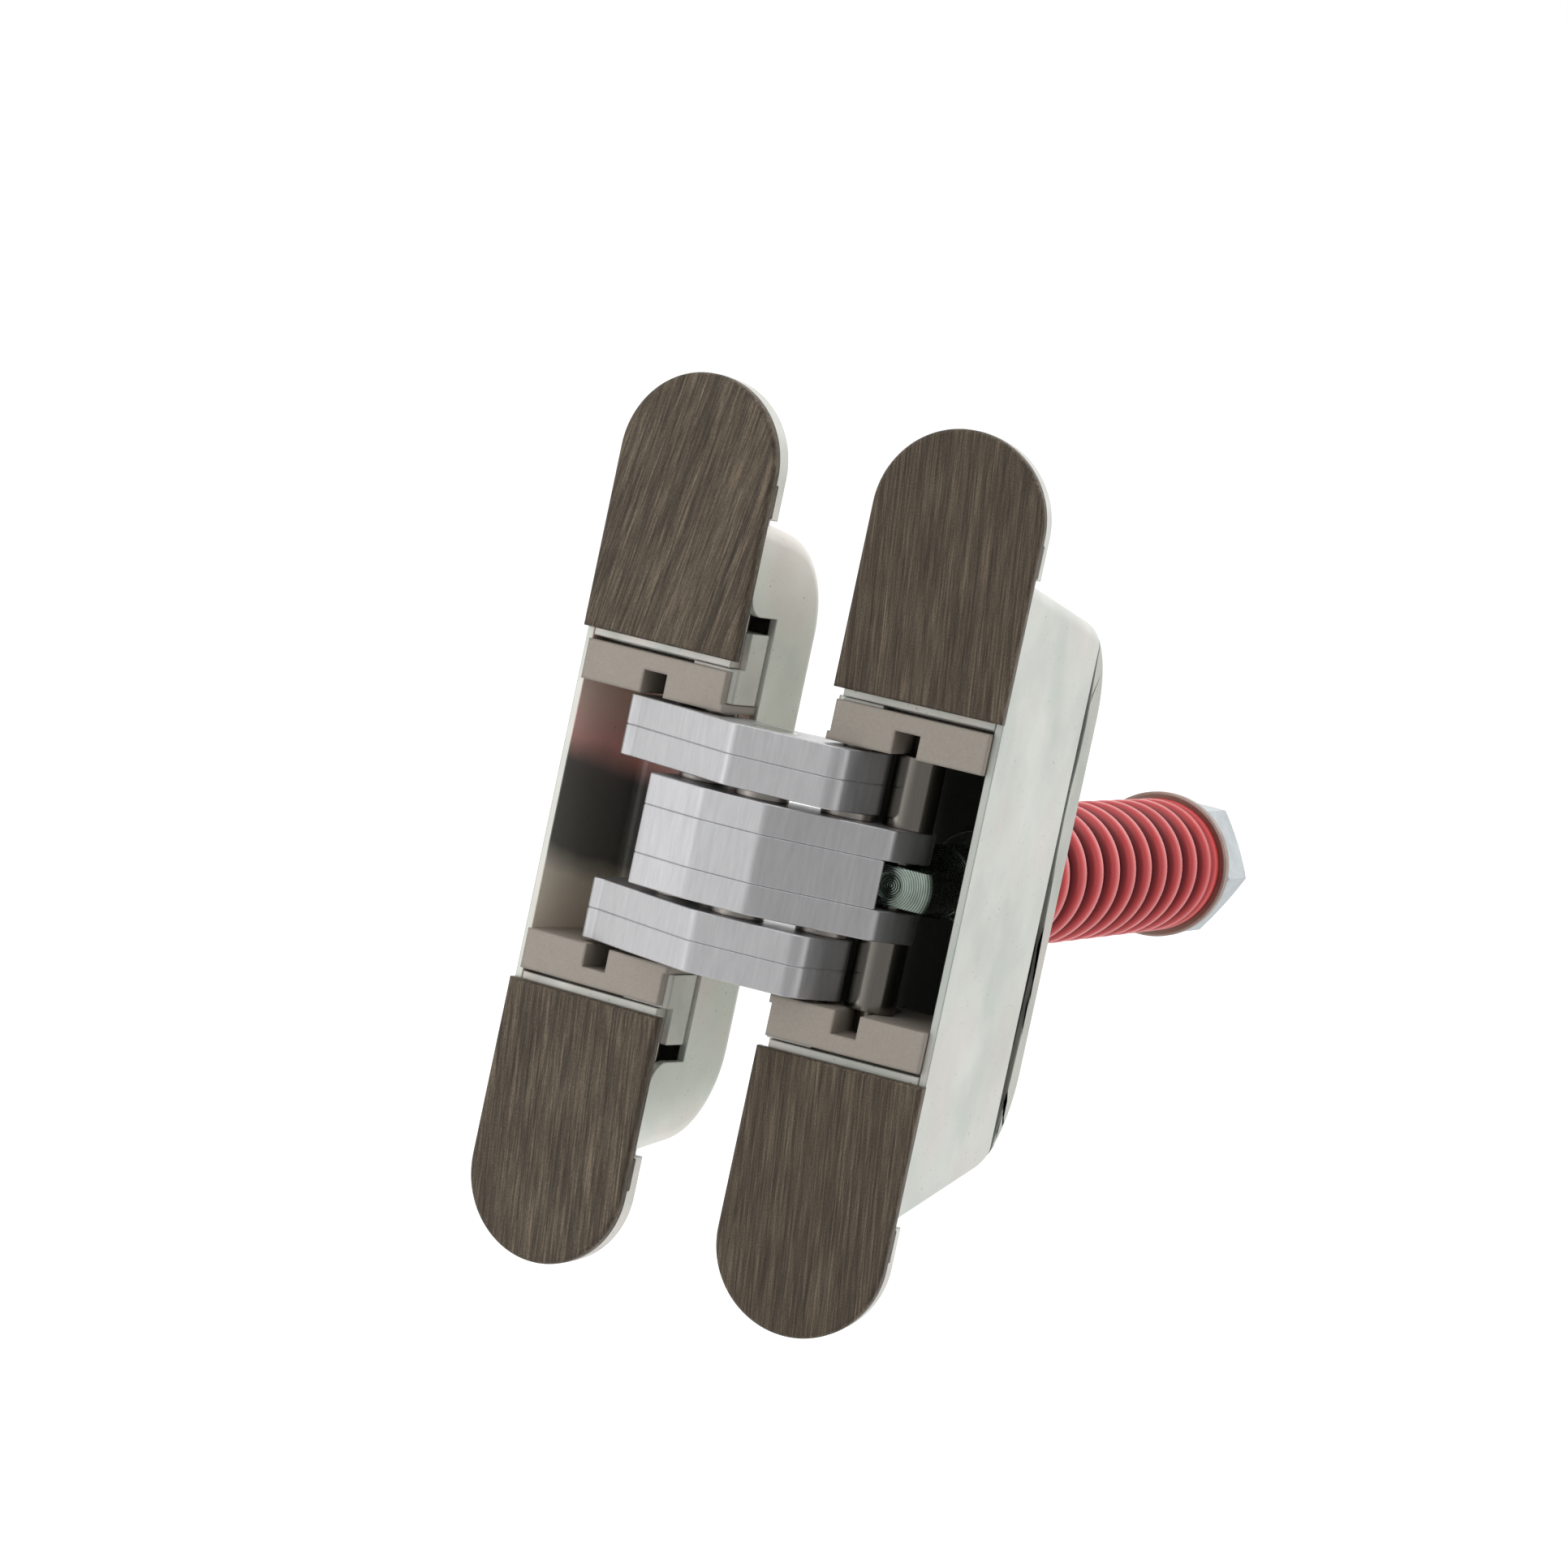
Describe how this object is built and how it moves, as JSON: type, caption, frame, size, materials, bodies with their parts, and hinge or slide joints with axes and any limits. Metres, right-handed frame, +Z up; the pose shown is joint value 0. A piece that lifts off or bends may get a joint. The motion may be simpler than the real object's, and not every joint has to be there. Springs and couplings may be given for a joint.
{
  "type": "concealed invisible door hinge",
  "caption": "Self-closing concealed door hinge, shown open: two narrow cases with crossed arms between them and a sprung pull rod behind one.",
  "frame": {"origin": "centre of the front face of the spring unit, the face that lies flush with the door or jamb, level with the middle of the arms", "axes": "+X across the face of the spring unit, away from the other unit; +Y into the door or jamb along the pull rod; +Z up along the hinge's length, the axis about which the door turns"},
  "size_m": [0.0608, 0.1527, 0.12],
  "materials": {
    "bronze_cap": "brushed antique bronze plating, clear lacquered",
    "zinc_casting": "zinc die casting with a pale passivated zinc coat",
    "case_steel": "pressed steel with a pale zinc coat",
    "guide_steel": "sintered steel, matt warm grey",
    "arm_steel": "ground steel sheet, satin nickel coat",
    "pin_steel": "hardened ground pins and sleeves",
    "washer_bronze": "thin spacing washers",
    "screw_steel": "zinc coated screws",
    "rod_steel": "turned steel rod with a greenish zinc coat",
    "spring_red": "red lacquered die spring wire",
    "spring_washer": "dull steel washer",
    "nut_steel": "bright zinc coated nut",
    "bush_steel": "turned flanged bush"
  },
  "bodies": {
    "spring_unit": {"closing_spring": "spring_red", "spring_unit_adjusting_screws": "screw_steel", "spring_unit_back_cover": "case_steel", "spring_unit_cap_bottom": "bronze_cap", "spring_unit_cap_top": "bronze_cap", "spring_unit_carrier_bottom": "zinc_casting", "spring_unit_carrier_top": "zinc_casting", "spring_unit_case": "case_steel", "spring_unit_guide_block_bottom": "guide_steel", "spring_unit_guide_block_top": "guide_steel", "spring_unit_pivot_pin": "pin_steel", "spring_unit_pivot_washers": "washer_bronze", "spring_unit_plate_bottom": "zinc_casting", "spring_unit_plate_top": "zinc_casting", "spring_unit_rod_bush": "bush_steel"},
    "outer_arms": {"frame_slide_pin_lower": "pin_steel", "frame_slide_pin_upper": "pin_steel", "knee_pin": "pin_steel", "knee_washer_lower": "washer_bronze", "knee_washer_upper": "washer_bronze", "outer_arm_inner_sheet_lower": "arm_steel", "outer_arm_inner_sheet_upper": "arm_steel", "outer_arm_outer_sheet_lower": "arm_steel", "outer_arm_outer_sheet_upper": "arm_steel"},
    "middle_arm": {"middle_arm_core": "arm_steel", "middle_arm_sheet_lower": "arm_steel", "middle_arm_sheet_upper": "arm_steel", "slide_sleeve_lower": "pin_steel", "slide_sleeve_upper": "pin_steel", "spring_slide_pin": "pin_steel"},
    "frame_unit": {"frame_unit_adjusting_screws": "screw_steel", "frame_unit_cap_bottom": "bronze_cap", "frame_unit_cap_top": "bronze_cap", "frame_unit_carrier_bottom": "zinc_casting", "frame_unit_carrier_top": "zinc_casting", "frame_unit_case": "case_steel", "frame_unit_guide_block_bottom": "guide_steel", "frame_unit_guide_block_top": "guide_steel", "frame_unit_pivot_pin": "pin_steel", "frame_unit_pivot_washers": "washer_bronze", "frame_unit_plate_bottom": "zinc_casting", "frame_unit_plate_top": "zinc_casting"},
    "pull_rod": {"pull_rod": "rod_steel", "rod_nut": "nut_steel", "spring_washer": "spring_washer"}
  },
  "joints": [
    {"name": "door_swing", "type": "hinge", "parent": "spring_unit", "child": "outer_arms", "pos_m": [-0.008, 0.006, 0], "axis": [0, 0, 1], "range_deg": [0, 116]},
    {"name": "knee", "type": "hinge", "parent": "outer_arms", "child": "middle_arm", "pos_m": [-0.01874, 0.00223, 0], "axis": [0, 0, 1], "range_deg": [-43.5, 0]},
    {"name": "frame_unit_pivot", "type": "hinge", "parent": "middle_arm", "child": "frame_unit", "pos_m": [-0.02881, 0.00755, 0], "axis": [0, 0, 1], "range_deg": [0, 116]},
    {"name": "rod_slide", "type": "slide", "parent": "spring_unit", "child": "pull_rod", "axis": [0, 1, 0], "range_m": [0, 0.0066], "deforming": ["closing_spring"]}
  ],
  "couplings": [
    {"joint": "knee", "follows": "door_swing", "ratio": -0.375},
    {"joint": "frame_unit_pivot", "follows": "door_swing", "ratio": 1},
    {"joint": "rod_slide", "follows": "door_swing", "m_per_rad": 0.0032599}
  ]
}
